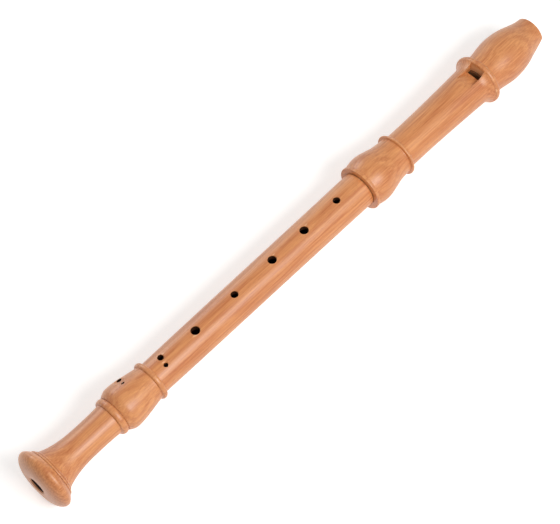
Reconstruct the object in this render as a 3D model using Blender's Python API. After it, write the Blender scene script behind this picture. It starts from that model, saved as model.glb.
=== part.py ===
"""Alto recorder: head, middle and foot joints, the block and the two tenon corks.

The instrument lies on its back along X, beak toward +X, finger holes up.
The origin is midway along it, on the surface that the bell rests on. Metres.
"""

from math import asin, cos, pi, radians, sin, sqrt

import bmesh
import bpy
from mathutils import Vector


# Facets and clearances
SEGMENTS = 36
HOLE_SEGMENTS = 20
SHOULDER_GAP = 0.0003
TENON_CLEARANCE = 0.0005
TENON_END_GAP = 0.0005
CORK_SOCKET_CLEARANCE = 0.00025
CORK_SEAT_CLEARANCE = 0.00025
CORK_END_GAP = 0.0003
BLOCK_CLEARANCE = 0.0003

# Foot joint, from the bell end upward
BELL_R = 0.0225
BELL_FACE_R = 0.0102
BELL_DOME_LENGTH = 0.0070
BELL_RIM_LENGTH = 0.0043
BELL_RIM_BACK_R = 0.0191
BELL_BEAD_LENGTH = 0.0018
BELL_BEAD_R = 0.0186
BELL_FILLET_LENGTH = 0.0016
BELL_FILLET_R = 0.0166
STEM_ROOT_R = 0.0156
STEM_FLARE_LENGTH = 0.0353
STEM_WAIST_R = 0.01105
STEM_UPPER_LENGTH = 0.0132
STEM_TOP_R = 0.0115
FOOT_RING_LENGTH = 0.0048
FOOT_RING_R = 0.01395
FOOT_NOTCH_LENGTH = 0.0005
FOOT_NOTCH_R = 0.0130
FOOT_BULGE_RISE = 0.0067
FOOT_BULGE_R = 0.0162
FOOT_BULGE_FALL = 0.0234
FOOT_NECK_R = 0.0130
FOOT_BEAD_LENGTH = 0.0040
FOOT_BEAD_R = 0.0147
FOOT_BEAD_EDGE_R = 0.0134

# Middle joint, between its two shoulders
MIDDLE_LENGTH = 0.1989
MIDDLE_LOW_R = 0.01203
MIDDLE_WAIST_R = 0.01262
MIDDLE_WAIST_AT = 0.097
MIDDLE_TOP_R = 0.01315

# Head joint, from its lower end upward
HEAD_RING_LENGTH = 0.0024
HEAD_RING_R = 0.0175
HEAD_NOTCH_LENGTH = 0.0005
HEAD_NOTCH_R = 0.0168
HEAD_BULGE_RISE = 0.0083
HEAD_BULGE_R = 0.0183
HEAD_BULGE_FALL = 0.0178
HEAD_NECK_LENGTH = 0.0078
HEAD_NECK_R = 0.0145
HEAD_BEAD_LENGTH = 0.0022
HEAD_BEAD_R = 0.0167
HEAD_BEAD_EDGE_R = 0.0156
HEAD_COVE_LENGTH = 0.0025
HEAD_COVE_R = 0.0146
HEAD_TUBE_LENGTH = 0.0745
HEAD_TUBE_LOW_R = 0.0135
HEAD_TUBE_TOP_R = 0.0151
WINDOW_FLARE_LENGTH = 0.0074
WINDOW_RING_LENGTH = 0.0037
WINDOW_RING_R = 0.01955
WINDOW_RING_EDGE_R = 0.0184
BEAK_NECK_LENGTH = 0.0029
BEAK_NECK_R = 0.01575
BEAK_RISE_LENGTH = 0.0196
BEAK_R = 0.01785
BEAK_FALL_LENGTH = 0.0183
BEAK_WAIST_R = 0.0152
BEAK_LIP_LENGTH = 0.0150
BEAK_TIP_R = 0.0119

# Concave cut at the back of the beak, taken through the block too
BEAK_CUT_R = 0.050
BEAK_CUT_TIP_HEIGHT = 0.0030
BEAK_CUT_TIP_SLOPE = radians(31.0)

# Bore, wide in the head and narrowing to the bell
HEAD_BORE_R = 0.0095
MIDDLE_BORE_TOP_R = 0.0093
MIDDLE_BORE_LOW_R = 0.0070
FOOT_BORE_TOP_R = 0.0069
BELL_BORE_R = 0.00613
BELL_BORE_EDGE = 0.0008

# Tenons of the middle joint and their corks
UPPER_TENON_LENGTH = 0.0246
UPPER_TENON_R = 0.0116
UPPER_CORK_AT = 0.0045
UPPER_CORK_LENGTH = 0.0150
LOWER_TENON_LENGTH = 0.0144
LOWER_TENON_R = 0.0096
LOWER_CORK_AT = 0.0032
LOWER_CORK_LENGTH = 0.0080
CORK_THICKNESS = 0.0010

# Windway, window and labium in the head
WINDOW_FROM_TIP = 0.0596
WINDOW_LENGTH = 0.0042
WINDWAY_WIDTH = 0.0124
WINDWAY_HEIGHT = 0.0013
WINDWAY_FLOOR_CUT = 0.0004
LABIUM_LENGTH = 0.0160
LIP_THICKNESS = 0.0005
LIP_UNDERCUT_LENGTH = 0.0080
LIP_UNDERCUT_DEPTH = 0.0002

# Tone holes: distance above the lower shoulder of the middle joint, radius
HOLE_1_AT = 0.1757
HOLE_1_R = 0.0026
HOLE_2_AT = 0.1436
HOLE_2_R = 0.0031
HOLE_3_AT = 0.1125
HOLE_3_R = 0.0031
HOLE_4_AT = 0.0765
HOLE_4_R = 0.0026
HOLE_5_AT = 0.0399
HOLE_5_R = 0.0032
HOLE_6_LARGE_AT = 0.0107
HOLE_6_LARGE_R = 0.0021
HOLE_6_LARGE_SIDE = 0.0029
HOLE_6_SMALL_AT = 0.0094
HOLE_6_SMALL_R = 0.0016
HOLE_6_SMALL_SIDE = -0.0035
THUMB_HOLE_AT = 0.1840
THUMB_HOLE_R = 0.0029
RIM_BEVEL = 0.0004

# Double hole of the foot: distance below its upper face, radius, offset
FOOT_TURN = radians(37.7)
HOLE_7_LARGE_BELOW = 0.0184
HOLE_7_LARGE_R = 0.0019
HOLE_7_LARGE_SIDE = 0.0031
HOLE_7_SMALL_BELOW = 0.0191
HOLE_7_SMALL_R = 0.0013
HOLE_7_SMALL_SIDE = -0.0031

# Sizes that follow from the ones above
BELL_LENGTH = BELL_DOME_LENGTH + BELL_RIM_LENGTH + BELL_BEAD_LENGTH + BELL_FILLET_LENGTH
STEM_LENGTH = STEM_FLARE_LENGTH + STEM_UPPER_LENGTH
FOOT_BULGE_LENGTH = FOOT_NOTCH_LENGTH + FOOT_BULGE_RISE + FOOT_BULGE_FALL
FOOT_LENGTH = (BELL_LENGTH + STEM_LENGTH + FOOT_RING_LENGTH
               + FOOT_BULGE_LENGTH + FOOT_BEAD_LENGTH)
HEAD_SOCKET_LENGTH = (HEAD_RING_LENGTH + HEAD_NOTCH_LENGTH + HEAD_BULGE_RISE
                      + HEAD_BULGE_FALL + HEAD_NECK_LENGTH + HEAD_BEAD_LENGTH
                      + HEAD_COVE_LENGTH)
WINDOW_SWELL_LENGTH = WINDOW_FLARE_LENGTH + WINDOW_RING_LENGTH + BEAK_NECK_LENGTH
BEAK_LENGTH = BEAK_RISE_LENGTH + BEAK_FALL_LENGTH + BEAK_LIP_LENGTH
HEAD_LENGTH = HEAD_SOCKET_LENGTH + HEAD_TUBE_LENGTH + WINDOW_SWELL_LENGTH + BEAK_LENGTH
TOTAL_LENGTH = FOOT_LENGTH + MIDDLE_LENGTH + HEAD_LENGTH + 2 * SHOULDER_GAP

FOOT_TOP_X = -TOTAL_LENGTH / 2 + FOOT_LENGTH
MIDDLE_LOW_X = FOOT_TOP_X + SHOULDER_GAP
MIDDLE_TOP_X = MIDDLE_LOW_X + MIDDLE_LENGTH
HEAD_LOW_X = MIDDLE_TOP_X + SHOULDER_GAP
TIP_X = HEAD_LOW_X + HEAD_LENGTH
AXIS_Z = BELL_R * cos(pi / SEGMENTS)

UPPER_SOCKET_R = UPPER_TENON_R + TENON_CLEARANCE
UPPER_SOCKET_DEPTH = UPPER_TENON_LENGTH - SHOULDER_GAP + TENON_END_GAP
LOWER_SOCKET_R = LOWER_TENON_R + TENON_CLEARANCE
LOWER_SOCKET_DEPTH = LOWER_TENON_LENGTH - SHOULDER_GAP + TENON_END_GAP
BLOCK_R = HEAD_BORE_R - BLOCK_CLEARANCE
BLOCK_LENGTH = WINDOW_FROM_TIP
WINDWAY_FLOOR_R = BLOCK_R - WINDWAY_FLOOR_CUT
WINDWAY_ROOF_R = WINDWAY_FLOOR_R + WINDWAY_HEIGHT


def ease(start, end, steps):
    """Smooth run between two (x, radius, slope) stations, start left out."""
    x0, r0, s0 = start
    x1, r1, s1 = end
    h = x1 - x0
    points = []
    for i in range(1, steps + 1):
        t = i / steps
        r = ((2 * t ** 3 - 3 * t ** 2 + 1) * r0 + (t ** 3 - 2 * t ** 2 + t) * h * s0
             + (3 * t ** 2 - 2 * t ** 3) * r1 + (t ** 3 - t ** 2) * h * s1)
        points.append((x0 + h * t, r))
    return points


def bead(x0, r0, x1, r1, crest, steps):
    """Half-round bead between two edges, start left out."""
    points = []
    for i in range(1, steps + 1):
        a = pi * i / steps
        t = (1 - cos(a)) / 2
        r = r0 + (r1 - r0) * t + (crest - (r0 + r1) / 2) * sin(a)
        points.append((x0 + (x1 - x0) * t, r))
    return points


def dome(x0, r0, x1, r1, steps):
    """Quarter ellipse that leaves its start square to the axis."""
    points = []
    for i in range(1, steps + 1):
        a = pi / 2 * i / steps
        points.append((x0 + (x1 - x0) * (1 - cos(a)), r0 + (r1 - r0) * sin(a)))
    return points


def foot_outline():
    """Outer outline of the foot joint, bell end at x = 0."""
    x = BELL_DOME_LENGTH
    points = [(0.0, BELL_FACE_R)]
    points += dome(0.0, BELL_FACE_R, x, BELL_R, 7)
    points += ease((x, BELL_R, 0.0), (x + BELL_RIM_LENGTH, BELL_RIM_BACK_R, -1.1), 3)
    x += BELL_RIM_LENGTH
    bead_edge = BELL_BEAD_R - 0.0005
    points += [(x + 0.0001, bead_edge)]
    points += bead(x + 0.0001, bead_edge, x + BELL_BEAD_LENGTH, bead_edge - 0.0006,
                   BELL_BEAD_R, 3)
    x += BELL_BEAD_LENGTH
    fillet_edge = BELL_FILLET_R - 0.0003
    points += [(x + 0.0002, fillet_edge)]
    points += bead(x + 0.0002, fillet_edge, x + BELL_FILLET_LENGTH, STEM_ROOT_R,
                   BELL_FILLET_R, 2)
    x += BELL_FILLET_LENGTH
    waist = (x + STEM_FLARE_LENGTH, STEM_WAIST_R, 0.0)
    points += ease((x, STEM_ROOT_R, -0.42), waist, 7)
    x += STEM_LENGTH
    points += ease(waist, (x, STEM_TOP_R, 0.06), 2)
    ring_edge = FOOT_RING_R - 0.0013
    points += [(x + 0.0003, ring_edge)]
    points += bead(x + 0.0003, ring_edge, x + FOOT_RING_LENGTH, FOOT_NOTCH_R,
                   FOOT_RING_R, 4)
    x += FOOT_RING_LENGTH + FOOT_NOTCH_LENGTH
    points += [(x, FOOT_NOTCH_R + 0.0006)]
    crest = (x + FOOT_BULGE_RISE, FOOT_BULGE_R, 0.0)
    points += ease((x, FOOT_NOTCH_R + 0.0006, 0.75), crest, 4)
    x += FOOT_BULGE_RISE + FOOT_BULGE_FALL
    points += ease(crest, (x, FOOT_NECK_R, -0.13), 5)
    points += [(x + 0.0003, FOOT_BEAD_EDGE_R)]
    points += bead(x + 0.0003, FOOT_BEAD_EDGE_R, x + FOOT_BEAD_LENGTH,
                   FOOT_BEAD_EDGE_R, FOOT_BEAD_R, 4)
    return points


def foot_profile():
    """Closed half section of the foot, its upper face at x = 0."""
    socket_floor = FOOT_LENGTH - LOWER_SOCKET_DEPTH
    points = foot_outline()
    points += [(FOOT_LENGTH, LOWER_SOCKET_R),
               (socket_floor, LOWER_SOCKET_R),
               (socket_floor, FOOT_BORE_TOP_R),
               (BELL_BORE_EDGE, BELL_BORE_R),
               (0.0, BELL_BORE_R + BELL_BORE_EDGE)]
    return [(x - FOOT_LENGTH, r) for x, r in points]


def tenon_groove(at, length, radius, direction, shoulder):
    """Cork groove in a tenon, counted outward from the tenon's shoulder."""
    seat = radius + TENON_CLEARANCE - CORK_SOCKET_CLEARANCE - CORK_THICKNESS
    floor = seat - CORK_SEAT_CLEARANCE
    near = shoulder + direction * (at - CORK_END_GAP)
    far = shoulder + direction * (at + length + CORK_END_GAP)
    return [(near, radius), (near, floor), (far, floor), (far, radius)]


def middle_profile():
    """Closed half section of the middle joint, its lower shoulder at x = 0."""
    waist = (MIDDLE_WAIST_AT, MIDDLE_WAIST_R, 0.0035)
    low_end = -LOWER_TENON_LENGTH
    top_end = MIDDLE_LENGTH + UPPER_TENON_LENGTH
    lower = tenon_groove(LOWER_CORK_AT, LOWER_CORK_LENGTH, LOWER_TENON_R, -1, 0.0)
    upper = tenon_groove(UPPER_CORK_AT, UPPER_CORK_LENGTH, UPPER_TENON_R, 1, MIDDLE_LENGTH)
    points = [(low_end, LOWER_TENON_R)]
    points += list(reversed(lower))
    points += [(0.0, LOWER_TENON_R), (0.0, MIDDLE_LOW_R)]
    points += ease((0.0, MIDDLE_LOW_R, 0.0135), waist, 4)
    points += ease(waist, (MIDDLE_LENGTH, MIDDLE_TOP_R, 0.007), 4)
    points += [(MIDDLE_LENGTH, UPPER_TENON_R)]
    points += upper
    points += [(top_end, UPPER_TENON_R),
               (top_end, MIDDLE_BORE_TOP_R),
               (low_end, MIDDLE_BORE_LOW_R)]
    return points


def head_outline():
    """Outer outline of the head joint, its lower end at x = 0."""
    x = HEAD_RING_LENGTH
    points = [(0.0, HEAD_RING_R - 0.0002), (0.0003, HEAD_RING_R), (x - 0.0003, HEAD_RING_R)]
    points += [(x, HEAD_NOTCH_R), (x + HEAD_NOTCH_LENGTH, HEAD_NOTCH_R)]
    x += HEAD_NOTCH_LENGTH
    crest = (x + HEAD_BULGE_RISE, HEAD_BULGE_R, 0.0)
    points += ease((x, HEAD_NOTCH_R, 0.35), crest, 4)
    x += HEAD_BULGE_RISE + HEAD_BULGE_FALL
    neck_start = (x, HEAD_NECK_R + 0.0005, -0.12)
    points += ease(crest, neck_start, 5)
    x += HEAD_NECK_LENGTH
    points += ease(neck_start, (x, HEAD_NECK_R, -0.02), 2)
    points += [(x + 0.0002, HEAD_BEAD_EDGE_R)]
    points += bead(x + 0.0002, HEAD_BEAD_EDGE_R, x + HEAD_BEAD_LENGTH,
                   HEAD_BEAD_EDGE_R - 0.0003, HEAD_BEAD_R, 4)
    x += HEAD_BEAD_LENGTH
    points += [(x + 0.0002, HEAD_COVE_R), (x + 0.0008, HEAD_COVE_R)]
    points += dome_down(x + 0.0008, HEAD_COVE_R, x + HEAD_COVE_LENGTH, HEAD_TUBE_LOW_R, 2)
    x += HEAD_COVE_LENGTH
    flare = (x + HEAD_TUBE_LENGTH, HEAD_TUBE_TOP_R, 0.035)
    points += ease((x, HEAD_TUBE_LOW_R, -0.01), flare, 6)
    x += HEAD_TUBE_LENGTH + WINDOW_FLARE_LENGTH
    points += ease(flare, (x, WINDOW_RING_EDGE_R, 0.95), 4)
    points += bead(x, WINDOW_RING_EDGE_R, x + WINDOW_RING_LENGTH, WINDOW_RING_EDGE_R,
                   WINDOW_RING_R, 4)
    x += WINDOW_RING_LENGTH
    neck = (x + BEAK_NECK_LENGTH, BEAK_NECK_R, 0.0)
    points += ease((x, WINDOW_RING_EDGE_R, -3.0), neck, 3)
    x += BEAK_NECK_LENGTH
    crest = (x + BEAK_RISE_LENGTH, BEAK_R, 0.0)
    points += ease(neck, crest, 4)
    x += BEAK_RISE_LENGTH + BEAK_FALL_LENGTH
    waist = (x, BEAK_WAIST_R, -0.32)
    points += ease(crest, waist, 4)
    points += ease(waist, (x + BEAK_LIP_LENGTH, BEAK_TIP_R, -0.05), 4)
    return points


def dome_down(x0, r0, x1, r1, steps):
    """Quarter cove that meets its end along the axis."""
    points = []
    for i in range(1, steps + 1):
        a = pi / 2 * i / steps
        points.append((x0 + (x1 - x0) * (1 - cos(a)), r0 + (r1 - r0) * sin(a)))
    return points


def head_profile():
    """Closed half section of the head joint, bored right through."""
    points = head_outline()
    points += [(HEAD_LENGTH, HEAD_BORE_R),
               (UPPER_SOCKET_DEPTH, HEAD_BORE_R),
               (UPPER_SOCKET_DEPTH, UPPER_SOCKET_R),
               (0.0, UPPER_SOCKET_R)]
    return points


def cork_profile(at, length, tenon_r):
    """Half section of a cork ring, counted outward from the tenon's shoulder."""
    outer = tenon_r + TENON_CLEARANCE - CORK_SOCKET_CLEARANCE
    inner = outer - CORK_THICKNESS
    return [(at, outer), (at + length, outer), (at + length, inner), (at, inner)]


def material(name, colour, roughness):
    """Plain material with the piece's colour."""
    made = bpy.data.materials.new(name)
    made.use_nodes = True
    shader = made.node_tree.nodes["Principled BSDF"]
    shader.inputs["Base Color"].default_value = (*colour, 1.0)
    shader.inputs["Roughness"].default_value = roughness
    shader.inputs["Metallic"].default_value = 0.0
    made.diffuse_color = (*colour, 1.0)
    return made


def new_object(name, bm, finish, parent):
    """Object from a bmesh, faces turned outward and round parts smooth."""
    bmesh.ops.remove_doubles(bm, verts=bm.verts, dist=1e-7)
    bmesh.ops.recalc_face_normals(bm, faces=bm.faces)
    mesh = bpy.data.meshes.new(name)
    bm.to_mesh(mesh)
    bm.free()
    mesh.shade_smooth()
    mesh.set_sharp_from_angle(angle=radians(32.0))
    if finish is not None:
        mesh.materials.append(finish)
    made = bpy.data.objects.new(name, mesh)
    bpy.context.scene.collection.objects.link(made)
    made.parent = parent
    return made


def turned(name, profile, finish, parent, steps=SEGMENTS):
    """Closed half section spun about X, with a facet and not an edge below."""
    bm = bmesh.new()
    start = pi / steps
    verts = [bm.verts.new((x, r * sin(start), -r * cos(start))) for x, r in profile]
    edges = [bm.edges.new((verts[i - 1], verts[i])) for i in range(len(verts))]
    bmesh.ops.spin(bm, geom=verts + edges, cent=(0, 0, 0), axis=(1, 0, 0),
                   angle=2 * pi, steps=steps, use_merge=True)
    return new_object(name, bm, finish, parent)


def prism(name, outline, half_width, parent):
    """Outline in the XZ plane, extruded across Y."""
    bm = bmesh.new()
    verts = [bm.verts.new((x, -half_width, z)) for x, z in outline]
    face = bm.faces.new(verts)
    grown = bmesh.ops.extrude_face_region(bm, geom=[face])
    moved = [v for v in grown["geom"] if isinstance(v, bmesh.types.BMVert)]
    bmesh.ops.translate(bm, verts=moved, vec=(0, 2 * half_width, 0))
    return new_object(name, bm, None, parent)


def windway_sector(name, inner_r, outer_r, x0, x1, parent):
    """Bar with curved floor and roof about the bore's axis, upright side walls."""
    half = WINDWAY_WIDTH / 2
    steps = 6
    bm = bmesh.new()
    section = []
    for i in range(steps + 1):
        y = -half + WINDWAY_WIDTH * i / steps
        section.append((y, sqrt(inner_r ** 2 - y ** 2)))
    for i in range(steps + 1):
        y = half - WINDWAY_WIDTH * i / steps
        section.append((y, sqrt(outer_r ** 2 - y ** 2)))
    verts = [bm.verts.new((x0, y, z)) for y, z in section]
    face = bm.faces.new(verts)
    grown = bmesh.ops.extrude_face_region(bm, geom=[face])
    moved = [v for v in grown["geom"] if isinstance(v, bmesh.types.BMVert)]
    bmesh.ops.translate(bm, verts=moved, vec=(x1 - x0, 0, 0))
    return new_object(name, bm, None, parent)


def hole_cutter(name, radius, surface_r, parent):
    """Drill that stands on the bore's axis, wider where it leaves the wood."""
    bm = bmesh.new()
    top = surface_r + 0.002
    rim = surface_r - RIM_BEVEL / 2
    wide = radius + RIM_BEVEL + (top - surface_r)
    profile = [(0.0, 0.0), (radius, 0.0), (radius, rim), (wide, top), (0.0, top)]
    verts = [bm.verts.new((r, 0.0, z)) for r, z in profile]
    edges = [bm.edges.new((verts[i - 1], verts[i])) for i in range(1, len(verts))]
    bmesh.ops.spin(bm, geom=verts + edges, cent=(0, 0, 0), axis=(0, 0, 1),
                   angle=2 * pi, steps=HOLE_SEGMENTS, use_merge=True)
    return new_object(name, bm, None, parent)


def as_cutter(made):
    """Marks an object as a tool that is not part of the instrument."""
    made.hide_render = True
    made.display_type = "WIRE"
    return made


def cut(target, cutter):
    """Boolean difference that stays on the target."""
    modifier = target.modifiers.new("cut_" + cutter.name, "BOOLEAN")
    modifier.operation = "DIFFERENCE"
    modifier.solver = "EXACT"
    modifier.object = as_cutter(cutter)


def middle_radius(at):
    """Outer radius of the middle joint at a height above its lower shoulder."""
    waist = (MIDDLE_WAIST_AT, MIDDLE_WAIST_R, 0.0035)
    points = [(0.0, MIDDLE_LOW_R)]
    points += ease((0.0, MIDDLE_LOW_R, 0.0135), waist, 4)
    points += ease(waist, (MIDDLE_LENGTH, MIDDLE_TOP_R, 0.007), 4)
    return radius_on(points, at)


def radius_on(points, at):
    """Radius of an outline at one station."""
    for (x0, r0), (x1, r1) in zip(points[:-1], points[1:]):
        if x0 <= at <= x1 and x1 > x0:
            return r0 + (r1 - r0) * (at - x0) / (x1 - x0)
    return points[-1][1]


def beak_cut_outline(tip_x):
    """Concave arc from the beak's back up to its tip, closed below."""
    centre_x = tip_x + BEAK_CUT_R * sin(BEAK_CUT_TIP_SLOPE)
    centre_z = BEAK_CUT_TIP_HEIGHT - BEAK_CUT_R * cos(BEAK_CUT_TIP_SLOPE)
    low = -BEAK_R - 0.002
    last = BEAK_CUT_TIP_SLOPE - asin(0.001 / BEAK_CUT_R)
    first = pi / 2 - asin((low - centre_z) / BEAK_CUT_R)
    steps = 12
    points = []
    for i in range(steps + 1):
        a = first + (last - first) * i / steps
        points.append((centre_x - BEAK_CUT_R * sin(a), centre_z + BEAK_CUT_R * cos(a)))
    points.append((points[-1][0], low - 0.002))
    points.append((points[0][0], low - 0.002))
    return points


def window_outline():
    """Window, ramp and lip in one outline, seen from the side."""
    window_top_x = HEAD_LENGTH - WINDOW_FROM_TIP
    lip_x = window_top_x - WINDOW_LENGTH
    lip_z = HEAD_BORE_R + LIP_THICKNESS
    rise = (HEAD_TUBE_TOP_R - lip_z) / LABIUM_LENGTH
    top_z = WINDOW_RING_R + 0.002
    low_z = HEAD_BORE_R / 2
    under_z = HEAD_BORE_R - LIP_UNDERCUT_DEPTH
    side_z = sqrt(HEAD_BORE_R ** 2 - (WINDWAY_WIDTH / 2) ** 2)
    return [(lip_x, lip_z), (lip_x, under_z),
            (lip_x - LIP_UNDERCUT_LENGTH, side_z - 0.0003),
            (lip_x - LIP_UNDERCUT_LENGTH, low_z),
            (window_top_x, low_z), (window_top_x, top_z),
            (lip_x - (top_z - lip_z) / rise, top_z)]


# Start from an empty scene
for old in list(bpy.data.objects):
    bpy.data.objects.remove(old, do_unlink=True)

pearwood_head = material("pearwood_head", (0.60, 0.28, 0.12), 0.42)
pearwood_middle = material("pearwood_middle", (0.62, 0.30, 0.13), 0.42)
pearwood_foot = material("pearwood_foot", (0.61, 0.29, 0.125), 0.42)
cedar_block = material("cedar_block", (0.56, 0.29, 0.15), 0.65)
cork_upper = material("cork_upper", (0.50, 0.33, 0.18), 0.85)
cork_lower = material("cork_lower", (0.50, 0.33, 0.18), 0.85)

axis = bpy.data.objects.new("bore_axis", None)
bpy.context.scene.collection.objects.link(axis)
axis.location = (0.0, 0.0, AXIS_Z)

# Foot joint, turned so that its double hole lies under the little finger
foot = turned("foot_joint", foot_profile(), pearwood_foot, axis)
foot.location = (FOOT_TOP_X, 0.0, 0.0)
foot.rotation_euler = (-FOOT_TURN, 0.0, 0.0)
foot_points = foot_outline()
for name, below, radius, side in (
        ("hole_7_large", HOLE_7_LARGE_BELOW, HOLE_7_LARGE_R, HOLE_7_LARGE_SIDE),
        ("hole_7_small", HOLE_7_SMALL_BELOW, HOLE_7_SMALL_R, HOLE_7_SMALL_SIDE)):
    surface = radius_on(foot_points, FOOT_LENGTH - below)
    drill = hole_cutter(name, radius, sqrt(surface ** 2 - side ** 2), foot)
    drill.location = (-below, side, 0.0)
    cut(foot, drill)

# Middle joint with its finger holes above and the thumb hole below
middle = turned("middle_joint", middle_profile(), pearwood_middle, axis)
middle.location = (MIDDLE_LOW_X, 0.0, 0.0)
for name, at, radius, side in (
        ("hole_1", HOLE_1_AT, HOLE_1_R, 0.0),
        ("hole_2", HOLE_2_AT, HOLE_2_R, 0.0),
        ("hole_3", HOLE_3_AT, HOLE_3_R, 0.0),
        ("hole_4", HOLE_4_AT, HOLE_4_R, 0.0),
        ("hole_5", HOLE_5_AT, HOLE_5_R, 0.0),
        ("hole_6_large", HOLE_6_LARGE_AT, HOLE_6_LARGE_R, HOLE_6_LARGE_SIDE),
        ("hole_6_small", HOLE_6_SMALL_AT, HOLE_6_SMALL_R, HOLE_6_SMALL_SIDE)):
    surface = sqrt(middle_radius(at) ** 2 - side ** 2)
    drill = hole_cutter(name, radius, surface, middle)
    drill.location = (at, side, 0.0)
    cut(middle, drill)
thumb = hole_cutter("thumb_hole", THUMB_HOLE_R, middle_radius(THUMB_HOLE_AT), middle)
thumb.location = (THUMB_HOLE_AT, 0.0, 0.0)
thumb.rotation_euler = (pi, 0.0, 0.0)
cut(middle, thumb)

# Head joint with its windway, window and beak
head = turned("head_joint", head_profile(), pearwood_head, axis)
head.location = (HEAD_LOW_X, 0.0, 0.0)
windway = windway_sector("windway_roof", HEAD_BORE_R * 0.9, WINDWAY_ROOF_R,
                         HEAD_LENGTH - WINDOW_FROM_TIP - WINDOW_LENGTH / 2,
                         HEAD_LENGTH + 0.001, head)
cut(head, windway)
window = prism("window_and_labium", window_outline(), WINDWAY_WIDTH / 2, head)
cut(head, window)
beak_back = prism("beak_back", beak_cut_outline(HEAD_LENGTH), BEAK_R + 0.004, head)
cut(head, beak_back)

# Block, which fills the bore under the windway
block_points = [(0.0, 0.0), (0.0, BLOCK_R), (-BLOCK_LENGTH, BLOCK_R), (-BLOCK_LENGTH, 0.0)]
bm_block = bmesh.new()
bmesh.ops.create_cone(bm_block, cap_ends=True, segments=SEGMENTS, radius1=BLOCK_R,
                      radius2=BLOCK_R, depth=BLOCK_LENGTH)
for vert in bm_block.verts:
    x, y, z = vert.co
    vert.co = Vector((z - BLOCK_LENGTH / 2, y, x))
block = new_object("block", bm_block, cedar_block, axis)
block.location = (TIP_X, 0.0, 0.0)
floor = windway_sector("windway_floor", WINDWAY_FLOOR_R, BLOCK_R + 0.001,
                       -BLOCK_LENGTH - 0.001, 0.001, block)
cut(block, floor)
block_back = prism("block_back", beak_cut_outline(0.0), BEAK_R + 0.004, block)
cut(block, block_back)

# Cork rings in the grooves of the two tenons
upper_cork = turned("upper_tenon_cork",
                    cork_profile(UPPER_CORK_AT, UPPER_CORK_LENGTH, UPPER_TENON_R),
                    cork_upper, axis)
upper_cork.location = (MIDDLE_TOP_X, 0.0, 0.0)
lower_cork = turned("lower_tenon_cork",
                    cork_profile(-LOWER_CORK_AT - LOWER_CORK_LENGTH, LOWER_CORK_LENGTH,
                                 LOWER_TENON_R),
                    cork_lower, axis)
lower_cork.location = (MIDDLE_LOW_X, 0.0, 0.0)
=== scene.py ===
"""Alto recorder in waxed pearwood, on a white sweep in soft studio light.

The instrument lies along X with its beak toward +X and its finger holes up.
Each piece is turned and cut as on the real one, and stands for its CAD node.
"""

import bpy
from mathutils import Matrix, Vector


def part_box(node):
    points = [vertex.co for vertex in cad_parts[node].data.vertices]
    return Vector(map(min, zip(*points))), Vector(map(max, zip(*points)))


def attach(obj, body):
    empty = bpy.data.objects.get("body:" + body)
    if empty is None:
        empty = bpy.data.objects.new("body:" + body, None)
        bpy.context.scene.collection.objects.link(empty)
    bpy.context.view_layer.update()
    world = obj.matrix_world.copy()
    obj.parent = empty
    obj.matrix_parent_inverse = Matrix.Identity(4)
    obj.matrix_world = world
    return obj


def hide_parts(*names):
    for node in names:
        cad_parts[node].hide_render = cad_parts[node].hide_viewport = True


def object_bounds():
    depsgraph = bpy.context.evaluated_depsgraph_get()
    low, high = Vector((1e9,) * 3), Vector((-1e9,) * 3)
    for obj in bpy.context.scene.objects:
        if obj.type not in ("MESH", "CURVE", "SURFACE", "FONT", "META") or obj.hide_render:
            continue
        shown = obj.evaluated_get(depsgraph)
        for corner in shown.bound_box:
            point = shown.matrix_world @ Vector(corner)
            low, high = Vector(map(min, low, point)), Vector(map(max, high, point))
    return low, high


bl_info = {
    "name": "Alto Recorder",
    "version": (1, 0, 0),
    "blender": (4, 5, 0),
    "location": "View3D > Sidebar > Recorder",
    "description": "Turns, bores and finishes the joints of an alto recorder",
    "category": "Add Mesh",
}

from math import asin, atan2, cos, pi, radians, sin, sqrt

import bmesh
import bpy
from bpy.props import FloatProperty, FloatVectorProperty, PointerProperty, StringProperty
from mathutils import Matrix, Vector

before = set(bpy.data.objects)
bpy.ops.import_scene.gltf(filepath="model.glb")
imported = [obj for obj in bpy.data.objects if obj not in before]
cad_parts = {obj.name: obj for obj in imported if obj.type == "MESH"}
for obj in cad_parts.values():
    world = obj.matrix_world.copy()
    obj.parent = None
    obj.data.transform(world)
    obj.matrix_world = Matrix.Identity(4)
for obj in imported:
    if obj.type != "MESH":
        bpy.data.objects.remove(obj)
CAD_BOX = [list(corner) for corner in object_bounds()]

# All lengths are in metres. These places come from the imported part
BELL_X = CAD_BOX[0][0]
FLOOR_Z = CAD_BOX[0][2]
BELL_R = (CAD_BOX[1][2] - CAD_BOX[0][2]) / 2
MIDDLE_LOW, MIDDLE_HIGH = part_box("middle_joint")
AXIS_Z = (MIDDLE_LOW[2] + MIDDLE_HIGH[2]) / 2

# How finely the wood is turned, drilled and sanded
TURNING_STEPS = 128
DRILL_STEPS = 64
MERGE_DISTANCE = 1e-6
SAME_PLACE = 1e-7
END_EDGE_LIMIT = 1e-5
EDGE_SOFTNESS = 0.00012
EDGE_SHARE = 0.4
CORNER_POINTS = (0.0, 0.33, 0.67, 1.0)
SANDED_ANGLE = radians(24.0)
SMOOTH_ANGLE = radians(36.0)
BLOCK_BEVEL = 0.0002

# Cutters: how far they reach past the wood, and the boards they are sawn from
CUT_PAST = 0.001
CUT_CLEAR = 0.002
BOARD_WIDTH = 0.044
WINDWAY_BOARD = (0.002, 0.030)
# A drill's flare, in rim widths: its height, then each step's rise and growth
FLARE_HEIGHT = 1.2
FLARE_STEPS = ((0.55, 0.12), (0.40, 0.30), (1.30, 1.55), (4.0, 4.5))

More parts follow.
